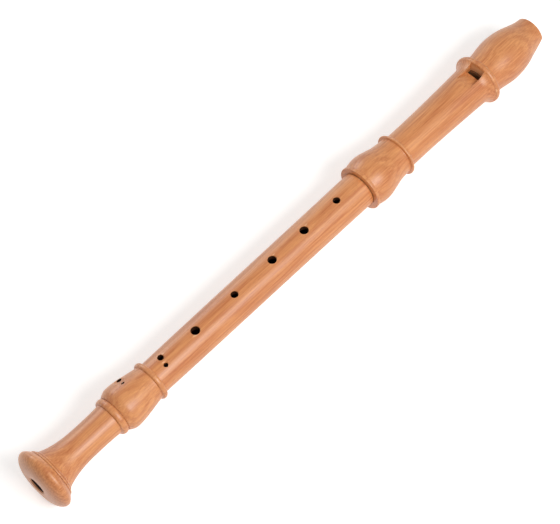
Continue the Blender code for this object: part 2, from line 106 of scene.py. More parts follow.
# Lengths along the foot joint, from the bell end upward
BELL_DOME_LENGTH = 0.0070
BELL_RIM_LENGTH = 0.0043
BELL_BEAD_LENGTH = 0.0018
BELL_FILLET_LENGTH = 0.0016
STEM_FLARE_LENGTH = 0.0353
STEM_UPPER_LENGTH = 0.0132
FOOT_RING_LENGTH = 0.0048
FOOT_NOTCH_LENGTH = 0.0005
FOOT_BULGE_RISE = 0.0067
FOOT_BULGE_FALL = 0.0234
FOOT_BEAD_LENGTH = 0.0040
FOOT_LENGTH = (BELL_DOME_LENGTH + BELL_RIM_LENGTH + BELL_BEAD_LENGTH
               + BELL_FILLET_LENGTH + STEM_FLARE_LENGTH + STEM_UPPER_LENGTH
               + FOOT_RING_LENGTH + FOOT_NOTCH_LENGTH + FOOT_BULGE_RISE
               + FOOT_BULGE_FALL + FOOT_BEAD_LENGTH)

# Lengths along the head joint, from its lower end upward
HEAD_RING_LENGTH = 0.0024
HEAD_NOTCH_LENGTH = 0.0005
HEAD_BULGE_RISE = 0.0083
HEAD_BULGE_FALL = 0.0178
HEAD_NECK_LENGTH = 0.0078
HEAD_BEAD_LENGTH = 0.0022
HEAD_COVE_LENGTH = 0.0025
HEAD_TUBE_LENGTH = 0.0745
WINDOW_FLARE_LENGTH = 0.0074
WINDOW_RING_LENGTH = 0.0037
BEAK_NECK_LENGTH = 0.0029
BEAK_RISE_LENGTH = 0.0196
BEAK_FALL_LENGTH = 0.0183
BEAK_LIP_LENGTH = 0.0150
HEAD_LENGTH = (HEAD_RING_LENGTH + HEAD_NOTCH_LENGTH + HEAD_BULGE_RISE
               + HEAD_BULGE_FALL + HEAD_NECK_LENGTH + HEAD_BEAD_LENGTH
               + HEAD_COVE_LENGTH + HEAD_TUBE_LENGTH + WINDOW_FLARE_LENGTH
               + WINDOW_RING_LENGTH + BEAK_NECK_LENGTH + BEAK_RISE_LENGTH
               + BEAK_FALL_LENGTH + BEAK_LIP_LENGTH)

# Middle joint: its length, its waist's height and its slope low, there and high
MIDDLE_LENGTH = 0.1989
MIDDLE_WAIST_AT = 0.097
MIDDLE_SLOPES = (0.0135, 0.0035, 0.007)

# Where the joints meet along X
SHOULDER_GAP = 0.0003
FOOT_TOP_X = BELL_X + FOOT_LENGTH
MIDDLE_LOW_X = FOOT_TOP_X + SHOULDER_GAP
MIDDLE_TOP_X = MIDDLE_LOW_X + MIDDLE_LENGTH
HEAD_LOW_X = MIDDLE_TOP_X + SHOULDER_GAP
TIP_X = HEAD_LOW_X + HEAD_LENGTH

# Turned walls stand almost square: how far they lean along the axis
FINE_LEAN = 0.0001
LEAN = 0.0002
WIDE_LEAN = 0.0003

# Foot mouldings: drops and swells from the radius they follow, and slopes
BELL_RIM_DROP = 0.0034
BELL_RIM_SLOPE = -1.1
BELL_BEAD_DROP = 0.0010
BELL_BEAD_FALL = 0.0006
BELL_BEAD_SWELL = 0.0005
FILLET_DROP = 0.0015
FILLET_START_DROP = 0.0003
FILLET_END_DROP = 0.0010
STEM_FLARE_SLOPE = -0.42
STEM_TOP_SWELL = 0.00045
STEM_TOP_SLOPE = 0.06
FOOT_RING_DROP = 0.0013
FOOT_NOTCH_DROP = 0.00095
FOOT_NOTCH_STEP = 0.0006
FOOT_BULGE_SLOPES = (0.75, -0.13)
FOOT_BULGE_END_DROP = 0.0017
FOOT_BEAD_DROP = 0.0013

# Head mouldings, in the same way
HEAD_RING_DROP = 0.0002
HEAD_NOTCH_DROP = 0.0007
HEAD_BULGE_SLOPE = 0.35
NECK_START_SWELL = 0.0005
NECK_SLOPES = (-0.12, -0.02)
HEAD_BEAD_DROP = 0.0011
HEAD_BEAD_FALL = 0.0003
COVE_SWELL = 0.0011
COVE_STEP = 0.0008
TUBE_SLOPES = (-0.01, 0.035)
WINDOW_FLARE_SLOPE = 0.95
WINDOW_RING_DROP = 0.00115
BEAK_NECK_R = 0.01575
BEAK_NECK_SLOPE = -3.0
BEAK_WAIST_R = 0.0152
BEAK_WAIST_SLOPE = -0.32
TIP_SLOPE = -0.05

# Bore, tenons, sockets and corks
HEAD_BORE_R = 0.0095
MIDDLE_BORE_TOP_R = 0.0093
MIDDLE_BORE_LOW_R = 0.0070
FOOT_BORE_TOP_R = 0.0069
BELL_BORE_R = 0.00613
BORE_MOUTH_EASE = 0.0008
UPPER_TENON_LENGTH = 0.0246
UPPER_TENON_R = 0.0116
UPPER_CORK_AT = 0.0045
UPPER_CORK_LENGTH = 0.0150
LOWER_TENON_LENGTH = 0.0144
LOWER_TENON_R = 0.0096
LOWER_CORK_AT = 0.0032
LOWER_CORK_LENGTH = 0.0080
TENON_CLEARANCE = 0.0005
SOCKET_END_GAP = 0.0005
CORK_CLEARANCE = 0.00025
CORK_END_GAP = 0.0003

# Hollow at the back of the beak
BEAK_CUT_R = 0.050
BEAK_CUT_TIP_HEIGHT = 0.0030
BEAK_CUT_TIP_SLOPE = radians(31.0)
BEAK_CUT_LOW = -0.0199
BEAK_CUT_STEPS = 48

# Windway and window
WINDOW_FROM_TIP = 0.0596
WINDWAY_HEIGHT = 0.0013
WINDWAY_CUT_FROM = 0.9 * HEAD_BORE_R
WINDWAY_FLOOR_CUT = 0.0004
LIP_THICKNESS = 0.0005
LIP_UNDERCUT_LENGTH = 0.0080
LIP_UNDERCUT_DEPTH = 0.0002
LIP_SIDE_DEPTH = 0.0003

# Hole places: height above the middle joint's lower shoulder, offset to the side
HOLE_PLACES = {
    "hole_1_radius": (0.1757, 0.0),
    "hole_2_radius": (0.1436, 0.0),
    "hole_3_radius": (0.1125, 0.0),
    "hole_4_radius": (0.0765, 0.0),
    "hole_5_radius": (0.0399, 0.0),
    "hole_6_large_radius": (0.0107, 0.0029),
    "hole_6_small_radius": (0.0094, -0.0035),
}
THUMB_HOLE_AT = 0.1840
# The foot's two holes: height above the bell's end, offset to the side
FOOT_HOLE_PLACES = {
    "hole_7_large_radius": (FOOT_LENGTH - 0.0184, 0.0031),
    "hole_7_small_radius": (FOOT_LENGTH - 0.0191, -0.0031),
}
# Shallow cut round them: its height, then its length, width and depth
SCOOP_AT = FOOT_LENGTH - 0.0187
SCOOP_SIZE = (0.0090, 0.0150, 0.0009)

# Where the oiled inside starts: depth under the turned surface, or past the bore.
# The bell's face and its bore's eased mouth are waxed with the outside
FOOT_INSIDE_DEPTH = 0.0020
MIDDLE_INSIDE_DEPTH = 0.0015
HEAD_BORE_MARGIN = 0.0001
BELL_FACE_DEPTH = 0.0009

# Each billet: where its pith lies beside the bore, and where its figure starts
BILLETS = {
    "foot": ((0.045, -0.050), 0.7),
    "middle": ((-0.040, -0.055), 2.9),
    "head": ((0.050, -0.045), 5.1),
}
# Spacing of a wave texture's lines at scale 1, and of the cedar's growth lines
WAVE_SPACING = 0.31416
CEDAR_SPACING = 0.0012

# Studio: paper, soft boxes and the camera fitted to the photograph
WHITE = (1.0, 1.0, 1.0, 1.0)
PAPER_SIZE = 12.0
PAPER_GLOW = 0.46
FRONT_BOX_AT = Vector((0.03, -0.76, 0.78))
BACK_BOX_AT = Vector((0.05, 0.95, 0.45))
VIEW_TILT = radians(22.4)
VIEW_TURN = radians(20.47)
VIEW_ROLL = atan2(0.67758, 0.73545)
VIEW_DISTANCE = 1.1465
VIEW_FOOT_X = -0.4478
VIEW_LENS_MM = 116.8


# Settings -------------------------------------------------------------------

def metres(name, default, description):
    """Setting that holds a length."""
    return FloatProperty(name=name, default=default, description=description,
                         unit="LENGTH", subtype="DISTANCE", precision=5)


def tint(name, default, surface):
    """Setting that holds an sRGB hex colour."""
    return StringProperty(name=name, default=default,
                          description="sRGB colour of " + surface)


class RecorderWood(bpy.types.PropertyGroup):
    """Colours of the woods and the cork"""
    pear_light: tint("Pearwood light", "#E7A062", "the wide early wood")
    pear_dark: tint("Pearwood dark", "#AF581F", "the growth lines")
    # Dark colour of the pores, and of wax and painted shade in grooves and recesses
    pear_pore_and_shade: tint("Pearwood pores", "#7E4420", "pores and wax in grooves")
    # Pale colour on convex edges: rubbed wear and a painted highlight
    pear_wear_and_highlight: tint("Pearwood edges", "#F2C494", "rubbed edges")
    bore: tint("Oiled bore", "#4A2A17", "the bore and hole walls")
    bore_dark: tint("Oiled bore, dark", "#241309", "the bore's darkest grain")
    block: tint("Cedar", "#C98F62", "the windway block")
    block_dark: tint("Cedar lines", "#A5683E", "the block's growth lines")
    cork: tint("Cork", "#B58A5C", "the tenon lapping")
    cork_dark: tint("Cork, dark", "#97693E", "the lapping's darkest grains")
    cork_speck: tint("Cork specks", "#4B2E1A", "the specks between the grains")
    ring_spacing: metres("Growth ring spacing", 0.0026, "Width of one year's growth")


class RecorderHead(bpy.types.PropertyGroup):
    """Sizes of the head joint"""
    ring_radius: metres("Lower ring radius", 0.0175, "Flat ring at the socket's mouth")
    bulge_radius: metres("Socket bulge radius", 0.0183, "Swelling over the upper tenon")
    neck_radius: metres("Neck radius", 0.0145, "Narrow place above the bulge")
    bead_radius: metres("Bead radius", 0.0167, "Bead that ends the socket moulding")
    tube_low_radius: metres("Tube radius, low", 0.0135, "Plain tube above the bead")
    tube_top_radius: metres("Tube radius, top", 0.0151, "Tube below the window ring")
    window_ring_radius: metres("Window ring radius", 0.01955, "Ring beside the window")
    beak_radius: metres("Beak radius", 0.01785, "Widest place of the beak")
    tip_radius: metres("Tip radius", 0.0119, "End of the beak")
    windway_width: metres("Windway width", 0.0124, "Windway, window and labium")
    window_length: metres("Window length", 0.0042, "From the windway's end to the lip")
    labium_length: metres("Labium length", 0.0160, "Ramp from the lip out to the tube")


class RecorderMiddle(bpy.types.PropertyGroup):
    """Sizes of the middle joint"""
    low_radius: metres("Radius, low", 0.01203, "Tube at the foot joint")
    waist_radius: metres("Radius, middle", 0.01262, "Tube halfway up")
    top_radius: metres("Radius, top", 0.01315, "Tube at the head joint")
    hole_1_radius: metres("Hole 1 radius", 0.0026, "First finger hole")
    hole_2_radius: metres("Hole 2 radius", 0.0031, "Second finger hole")
    hole_3_radius: metres("Hole 3 radius", 0.0031, "Third finger hole")
    hole_4_radius: metres("Hole 4 radius", 0.0026, "Fourth finger hole")
    hole_5_radius: metres("Hole 5 radius", 0.0032, "Fifth finger hole")
    hole_6_large_radius: metres("Hole 6 large radius", 0.0021, "Large one of a pair")
    hole_6_small_radius: metres("Hole 6 small radius", 0.0016, "Small one of a pair")
    thumb_hole_radius: metres("Thumb hole radius", 0.0029, "Hole at the back")
    rim: metres("Hole rim", 0.0006, "Eased edge round each hole")


class RecorderFoot(bpy.types.PropertyGroup):
    """Sizes of the foot joint"""
    bell_radius: metres("Bell radius", BELL_R, "Widest place of the bell")
    bell_face_radius: metres("Bell face radius", 0.0102, "Flat round the bore's mouth")
    stem_radius: metres("Stem radius", 0.01105, "Narrowest place of the stem")
    ring_radius: metres("Ring radius", 0.01395, "Ring between stem and bulge")
    bulge_radius: metres("Bulge radius", 0.0162, "Swelling over the lower tenon")
    bead_radius: metres("Top bead radius", 0.0147, "Bead at the socket's mouth")
    turn: FloatProperty(name="Turn", default=radians(37.7),
                        description="How far the foot is turned to the little finger",
                        unit="ROTATION", subtype="ANGLE")
    hole_7_large_radius: metres("Hole 7 large radius", 0.0019, "Large one of a pair")
    hole_7_small_radius: metres("Hole 7 small radius", 0.0013, "Small one of a pair")


class RecorderBlock(bpy.types.PropertyGroup):
    """Sizes of the block and the corks"""
    radius: metres("Block radius", 0.0092, "Plug that fills the bore under the windway")
    cork_thickness: metres("Cork thickness", 0.0010, "Lapping on both tenons")


class RecorderStage(bpy.types.PropertyGroup):
    """Floor and light"""
    floor_colour: tint("Floor colour", "#F6F5F3", "the paper sweep")
    key_power: FloatProperty(name="Key light", default=8.8, unit="POWER",
                             description="Soft box in front of the instrument")
    back_power: FloatProperty(name="Back light", default=3.6, unit="POWER",
                              description="Soft box behind the instrument")
    surround: FloatProperty(name="Surround", default=0.30,
                            description="Strength of the white room")
    box_size: FloatVectorProperty(name="Soft box size", default=(0.66, 0.42), size=2,
                                  description="Length and width of both soft boxes",
                                  unit="LENGTH")


# Modelling ------------------------------------------------------------------

def pick(*chosen):
    """Selects these objects, if any, and no others; the first one is active."""
    bpy.ops.object.select_all(action="DESELECT")
    for made in chosen:
        made.select_set(True)
    if chosen:
        bpy.context.view_layer.objects.active = chosen[0]


def choose(made, kind, wanted):
    """Goes into edit mode and selects the vertices, edges or faces wanted."""
    bpy.ops.object.mode_set(mode="EDIT")
    bpy.ops.mesh.select_mode(type=kind)
    bpy.ops.mesh.select_all(action="DESELECT")
    edit = bmesh.from_edit_mesh(made.data)
    for part in {"VERT": edit.verts, "EDGE": edit.edges, "FACE": edit.faces}[kind]:
        if wanted(part):
            part.select_set(True)
    edit.select_flush_mode()
    bmesh.update_edit_mesh(made.data)


def settle():
    """Leaves edit mode, with the object's place, turn and scale in its mesh."""
    bpy.ops.object.mode_set(mode="OBJECT")
    bpy.ops.object.transform_apply(location=True, rotation=True, scale=True)
    return bpy.context.active_object


def draw(points):
    """Draws a closed line in the XZ plane, one vertex extruded to the next."""
    pick()
    x0, z0 = points[0]
    # A small plane merged to one vertex is where the line starts
    bpy.ops.mesh.primitive_plane_add(size=0.001, location=(x0, 0.0, AXIS_Z + z0))
    made = bpy.context.active_object
    choose(made, "VERT", lambda vert: True)
    bpy.ops.mesh.merge(type="CENTER")
    for (xa, za), (xb, zb) in zip(points[:-1], points[1:]):
        bpy.ops.mesh.extrude_vertices_move(
            TRANSFORM_OT_translate={"value": (xb - xa, 0.0, zb - za)})
    choose(made, "VERT", lambda vert: len(vert.link_edges) == 1)
    bpy.ops.mesh.edge_face_add()
    bpy.ops.mesh.select_all(action="SELECT")


def shaped(name):
    """Ends a closed shape, with its faces turned outward."""
    bpy.ops.mesh.select_all(action="SELECT")
    bpy.ops.mesh.remove_doubles(threshold=MERGE_DISTANCE)
    bpy.ops.mesh.normals_make_consistent(inside=False)
    made = settle()
    made.name = name
    return made


def lathe(name, points):
    """Closed outline turned about the bore's axis."""
    draw(points)
    bpy.ops.mesh.spin(steps=TURNING_STEPS, angle=2 * pi,
                      center=(0.0, 0.0, AXIS_Z), axis=(1.0, 0.0, 0.0))
    return shaped(name)


def slab(name, points, width):
    """Closed outline sawn from a board of one width, centred on the bore."""
    draw(points)
    bpy.ops.mesh.edge_face_add()
    bpy.ops.transform.translate(value=(0.0, -width / 2, 0.0))
    bpy.ops.mesh.extrude_region_move(TRANSFORM_OT_translate={"value": (0.0, width, 0.0)})
    return shaped(name)


def drill(x, side, radius, surface, rim, turn=0.0):
    """Round cutter that stands on the axis and flares where it leaves the wood."""
    up = Vector((0.0, -sin(turn), cos(turn)))
    across = Vector((0.0, cos(turn), sin(turn)))
    root = Vector((x, 0.0, AXIS_Z)) + across * side
    depth = surface - FLARE_HEIGHT * rim
    pick()
    bpy.ops.mesh.primitive_cylinder_add(vertices=DRILL_STEPS, radius=radius, depth=depth,
                                        location=root + up * depth / 2,
                                        rotation=(turn, 0.0, 0.0))
    made = bpy.context.active_object
    choose(made, "FACE", lambda face: len(face.verts) == DRILL_STEPS and (
        made.matrix_world @ face.calc_center_median() - root).dot(up) > depth / 2)
    height, wide = depth, radius
    for rise, grow in FLARE_STEPS:
        bpy.ops.mesh.extrude_region_move(
            TRANSFORM_OT_translate={"value": up * rise * rim})
        height += rise * rim
        factor = (wide + grow * rim) / wide
        wide += grow * rim
        bpy.ops.transform.resize(value=(factor, factor, factor),
                                 center_override=root + up * height)
    return settle()


def hole_drills(places, s, outline, shift, rim, turn=0.0):
    """One drill for each hole, as tall as the wood stands there."""
    drills = []
    for key, (at, side) in places.items():
        surface = sqrt(radius_on(outline, at) ** 2 - side ** 2)
        drills.append(drill(shift + at, side, getattr(s, key), surface, rim, turn))
    return drills


def scoop(x, surface, size, turn):
    """Shallow spoon cut round a pair of holes, as a gouge leaves it."""
    up = Vector((0.0, -sin(turn), cos(turn)))
    length, width, depth = size
    pick()
    bpy.ops.mesh.primitive_uv_sphere_add(
        segments=DRILL_STEPS, ring_count=DRILL_STEPS // 2, radius=1.0,
        rotation=(turn, 0.0, 0.0),
        location=Vector((x, 0.0, AXIS_Z)) + up * (surface + depth),
        scale=(length / 2, width / 2, 2 * depth))
    return settle()


def combine(target, tool, operation="DIFFERENCE"):
    """Cuts the tool out of the target, or keeps what they share."""
    pick(target)
    bpy.ops.object.modifier_add(type="BOOLEAN")
    modifier = target.modifiers[-1]
    modifier.operation = operation
    modifier.solver = "EXACT"
    modifier.object = tool
    bpy.ops.object.modifier_apply(modifier=modifier.name)
    pick(tool)
    bpy.ops.object.delete()


def joined(tools):
    """Several cutters as one."""
    pick(*tools)
    bpy.ops.object.join()
    return tools[0]


def finish_piece(made, name, body, node, skins, skin_of=None):
    """Smooths a piece, gives it its finishes and hands it to its CAD body."""
    pick(made)
    bpy.ops.object.shade_smooth_by_angle(angle=SMOOTH_ANGLE)
    made.name = name
    made.data.name = name
    made.data.materials.clear()
    for skin in skins:
        made.data.materials.append(skin)
    for polygon in made.data.polygons:
        polygon.material_index = skin_of(polygon) if skin_of else 0
    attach(made, body)
    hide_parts(node)


# Outlines -------------------------------------------------------------------

def ease(start, end, steps):
    """Smooth run between two (x, radius, slope) stations, start left out."""
    x0, r0, s0 = start
    x1, r1, s1 = end
    h = x1 - x0
    points = []
    for i in range(1, steps + 1):
        t = i / steps
        r = ((2 * t ** 3 - 3 * t ** 2 + 1) * r0 + (t ** 3 - 2 * t ** 2 + t) * h * s0
             + (3 * t ** 2 - 2 * t ** 3) * r1 + (t ** 3 - t ** 2) * h * s1)
        points.append((x0 + h * t, r))
    return points


def bead(x0, r0, x1, r1, crest, steps):
    """Half-round bead between two edges, start left out."""
    points = []
    for i in range(1, steps + 1):
        a = pi * i / steps
        t = (1 - cos(a)) / 2
        r = r0 + (r1 - r0) * t + (crest - (r0 + r1) / 2) * sin(a)
        points.append((x0 + (x1 - x0) * t, r))
    return points


def dome(x0, r0, x1, r1, steps):
    """Quarter ellipse that leaves its start square to the axis."""
    points = []
    for i in range(1, steps + 1):
        a = pi / 2 * i / steps
        points.append((x0 + (x1 - x0) * (1 - cos(a)), r0 + (r1 - r0) * sin(a)))
    return points


def soften(points):
    """Rounds the corners of a closed outline, as sanding does on the lathe."""
    soft = []
    count = len(points)
    for i in range(count):
        before, here, after = (Vector(points[i - 1]), Vector(points[i]),
                               Vector(points[(i + 1) % count]))
        come, go = here - before, after - here
        if come.length < SAME_PLACE or go.length < SAME_PLACE:
            continue
        if come.angle(go) < SANDED_ANGLE:
            soft.append((here.x, here.y))
            continue
        reach = min(EDGE_SOFTNESS, EDGE_SHARE * come.length, EDGE_SHARE * go.length)
        a = here - come.normalized() * reach
        b = here + go.normalized() * reach
        for t in CORNER_POINTS:
            p = a * (1 - t) ** 2 + here * (2 * t * (1 - t)) + b * t ** 2
            soft.append((p.x, p.y))
    return soft


def radius_on(points, at):
    """Radius of an outline at one station."""
    for (x0, r0), (x1, r1) in zip(points[:-1], points[1:]):
        if x0 <= at <= x1 and x1 > x0:
            return r0 + (r1 - r0) * (at - x0) / (x1 - x0)
    return points[-1][1]


def foot_outline(s):
    """Outer outline of the foot joint, bell end at x = 0."""
    x = BELL_DOME_LENGTH
    points = [(0.0, s.bell_face_radius)]
    points += dome(0.0, s.bell_face_radius, x, s.bell_radius, 20)
    rim_back = s.bell_radius - BELL_RIM_DROP
    points += ease((x, s.bell_radius, 0.0),
                   (x + BELL_RIM_LENGTH, rim_back, BELL_RIM_SLOPE), 10)
    x += BELL_RIM_LENGTH
    edge = rim_back - BELL_BEAD_DROP
    points += [(x + FINE_LEAN, edge)]
    points += bead(x + FINE_LEAN, edge, x + BELL_BEAD_LENGTH, edge - BELL_BEAD_FALL,
                   edge + BELL_BEAD_SWELL, 10)
    x += BELL_BEAD_LENGTH
    fillet_r = edge - FILLET_DROP
    points += [(x + LEAN, fillet_r - FILLET_START_DROP)]
    points += bead(x + LEAN, fillet_r - FILLET_START_DROP, x + BELL_FILLET_LENGTH,
                   fillet_r - FILLET_END_DROP, fillet_r, 8)
    x += BELL_FILLET_LENGTH
    waist = (x + STEM_FLARE_LENGTH, s.stem_radius, 0.0)
    points += ease((x, fillet_r - FILLET_END_DROP, STEM_FLARE_SLOPE), waist, 24)
    x += STEM_FLARE_LENGTH + STEM_UPPER_LENGTH
    points += ease(waist, (x, s.stem_radius + STEM_TOP_SWELL, STEM_TOP_SLOPE), 8)
    points += [(x + WIDE_LEAN, s.ring_radius - FOOT_RING_DROP)]
    notch_r = s.ring_radius - FOOT_NOTCH_DROP
    points += bead(x + WIDE_LEAN, s.ring_radius - FOOT_RING_DROP,
                   x + FOOT_RING_LENGTH, notch_r, s.ring_radius, 14)
    x += FOOT_RING_LENGTH + FOOT_NOTCH_LENGTH
    points += [(x - LEAN, notch_r), (x, notch_r + FOOT_NOTCH_STEP)]
    crest = (x + FOOT_BULGE_RISE, s.bulge_radius, 0.0)
    points += ease((x, notch_r + FOOT_NOTCH_STEP, FOOT_BULGE_SLOPES[0]), crest, 14)
    x += FOOT_BULGE_RISE + FOOT_BULGE_FALL
    points += ease(crest, (x, s.bead_radius - FOOT_BULGE_END_DROP,
                           FOOT_BULGE_SLOPES[1]), 20)
    edge = s.bead_radius - FOOT_BEAD_DROP
    points += [(x + WIDE_LEAN, edge)]
    points += bead(x + WIDE_LEAN, edge, x + FOOT_BEAD_LENGTH, edge, s.bead_radius, 14)
    return points


def head_outline(s):
    """Outer outline of the head joint, its lower end at x = 0."""
    x = HEAD_RING_LENGTH
    notch_r = s.ring_radius - HEAD_NOTCH_DROP
    points = [(0.0, s.ring_radius - HEAD_RING_DROP), (WIDE_LEAN, s.ring_radius),
              (x - WIDE_LEAN, s.ring_radius),
              (x, notch_r), (x + HEAD_NOTCH_LENGTH, notch_r)]
    x += HEAD_NOTCH_LENGTH
    crest = (x + HEAD_BULGE_RISE, s.bulge_radius, 0.0)
    points += ease((x, notch_r, HEAD_BULGE_SLOPE), crest, 12)
    x += HEAD_BULGE_RISE + HEAD_BULGE_FALL
    neck_start = (x, s.neck_radius + NECK_START_SWELL, NECK_SLOPES[0])
    points += ease(crest, neck_start, 18)
    x += HEAD_NECK_LENGTH
    points += ease(neck_start, (x, s.neck_radius, NECK_SLOPES[1]), 6)
    edge = s.bead_radius - HEAD_BEAD_DROP
    points += [(x + LEAN, edge)]
    points += bead(x + LEAN, edge, x + HEAD_BEAD_LENGTH, edge - HEAD_BEAD_FALL,
                   s.bead_radius, 12)
    x += HEAD_BEAD_LENGTH
    cove_r = s.tube_low_radius + COVE_SWELL
    points += [(x + LEAN, cove_r), (x + COVE_STEP, cove_r)]
    points += dome(x + COVE_STEP, cove_r, x + HEAD_COVE_LENGTH, s.tube_low_radius, 6)
    x += HEAD_COVE_LENGTH
    flare = (x + HEAD_TUBE_LENGTH, s.tube_top_radius, TUBE_SLOPES[1])
    points += ease((x, s.tube_low_radius, TUBE_SLOPES[0]), flare, 44)
    x += HEAD_TUBE_LENGTH + WINDOW_FLARE_LENGTH
    edge = s.window_ring_radius - WINDOW_RING_DROP
    points += ease(flare, (x, edge, WINDOW_FLARE_SLOPE), 12)
    points += bead(x, edge, x + WINDOW_RING_LENGTH, edge, s.window_ring_radius, 12)
    x += WINDOW_RING_LENGTH
    neck = (x + BEAK_NECK_LENGTH, BEAK_NECK_R, 0.0)
    points += ease((x, edge, BEAK_NECK_SLOPE), neck, 10)
    x += BEAK_NECK_LENGTH
    crest = (x + BEAK_RISE_LENGTH, s.beak_radius, 0.0)
    points += ease(neck, crest, 16)
    x += BEAK_RISE_LENGTH + BEAK_FALL_LENGTH
    waist = (x, BEAK_WAIST_R, BEAK_WAIST_SLOPE)
    points += ease(crest, waist, 16)
    points += ease(waist, (x + BEAK_LIP_LENGTH, s.tip_radius, TIP_SLOPE), 14)
    return points


def middle_outline(s):
    """Outer outline of the middle joint, between its shoulders."""
    low, mid, top = MIDDLE_SLOPES
    waist = (MIDDLE_WAIST_AT, s.waist_radius, mid)
    return ([(0.0, s.low_radius)]
            + ease((0.0, s.low_radius, low), waist, 62)
            + ease(waist, (MIDDLE_LENGTH, s.top_radius, top), 64))


def tenon_groove(at, length, radius, direction, shoulder, thickness):
    """Cork groove in a tenon, counted outward from the tenon's shoulder."""
    floor = radius + TENON_CLEARANCE - 2 * CORK_CLEARANCE - thickness
    near = shoulder + direction * (at - CORK_END_GAP)
    far = shoulder + direction * (at + length + CORK_END_GAP)
    return [(near, radius), (near, floor), (far, floor), (far, radius)]


def beak_cut_outline():
    """Concave arc from the beak's back up to its tip, closed below."""
    centre_x = TIP_X + BEAK_CUT_R * sin(BEAK_CUT_TIP_SLOPE)
    centre_z = BEAK_CUT_TIP_HEIGHT - BEAK_CUT_R * cos(BEAK_CUT_TIP_SLOPE)
    last = BEAK_CUT_TIP_SLOPE - asin(CUT_PAST / BEAK_CUT_R)
    first = pi / 2 - asin((BEAK_CUT_LOW - centre_z) / BEAK_CUT_R)
    points = []
    for i in range(BEAK_CUT_STEPS + 1):
        a = first + (last - first) * i / BEAK_CUT_STEPS
        points.append((centre_x - BEAK_CUT_R * sin(a), centre_z + BEAK_CUT_R * cos(a)))
    points.append((points[-1][0], BEAK_CUT_LOW - CUT_CLEAR))
    points.append((points[0][0], BEAK_CUT_LOW - CUT_CLEAR))
    return points


def window_outline(s):
    """Window, ramp and lip in one outline, seen from the side."""
    top_x = TIP_X - WINDOW_FROM_TIP
    lip_x = top_x - s.window_length
    lip_z = HEAD_BORE_R + LIP_THICKNESS
    rise = (s.tube_top_radius - lip_z) / s.labium_length
    top_z = s.window_ring_radius + CUT_CLEAR
    low_z = HEAD_BORE_R / 2
    side_z = sqrt(HEAD_BORE_R ** 2 - (s.windway_width / 2) ** 2)
    return [(lip_x, lip_z), (lip_x, HEAD_BORE_R - LIP_UNDERCUT_DEPTH),
            (lip_x - LIP_UNDERCUT_LENGTH, side_z - LIP_SIDE_DEPTH),
            (lip_x - LIP_UNDERCUT_LENGTH, low_z), (top_x, low_z), (top_x, top_z),
            (lip_x - (top_z - lip_z) / rise, top_z)]


def windway_cutter(name, inner_r, outer_r, x0, x1, width):
    """Arched bar about the bore's axis with upright side walls."""
    arch = lathe(name, [(x0, inner_r), (x1, inner_r), (x1, outer_r), (x0, outer_r)])
    low, high = WINDWAY_BOARD
    sides = slab(name + "_sides", [(x0 - CUT_PAST, low), (x1 + CUT_PAST, low),
                                   (x1 + CUT_PAST, high), (x0 - CUT_PAST, high)], width)
    combine(arch, sides, "INTERSECT")
    return arch


def from_axis(polygon):
    """A face's distance from the bore's axis."""
    return sqrt(polygon.center.y ** 2 + (polygon.center.z - AXIS_Z) ** 2)


def inside_of(outline, shift, depth, end_x=-1.0):
    """Chooses the bore's finish for faces deeper than the turned surface."""
    def skin_of(polygon):
        if polygon.center.x < end_x:
            return 0
        at = min(max(polygon.center.x - shift, outline[0][0]), outline[-1][0])
        return 1 if from_axis(polygon) < radius_on(outline, at) - depth else 0
    return skin_of


# Finishes -------------------------------------------------------------------

def srgb(text):
    """Linear colour, with alpha, from an sRGB hex value."""
    linear = []
    for i in (1, 3, 5):
        c = int(text[i:i + 2], 16) / 255
        linear.append(c / 12.92 if c <= 0.04045 else ((c + 0.055) / 1.055) ** 2.4)
    return (*linear, 1.0)


def feed(tree, node, values=None, links=None):
    """Sets a node's socket values and connects what feeds it."""
    for key, value in (values or {}).items():
        node.inputs[key].default_value = value
    for key, source in (links or {}).items():
        tree.links.new(source, node.inputs[key])
    return node


def add_node(tree, kind, settings=None, values=None, links=None):
    """One node with its settings, its socket values and what feeds it."""
    made = tree.nodes.new(kind)
    for key, value in (settings or {}).items():
        setattr(made, key, value)
    return feed(tree, made, values, links)


def empty_material(name):
    """Material with its shader, output and the piece's own coordinates."""
    made = bpy.data.materials.new(name)
    made.use_nodes = True
    tree = made.node_tree
    coords = add_node(tree, "ShaderNodeTexCoord").outputs["Object"]
    return made, tree, tree.nodes["Principled BSDF"], coords


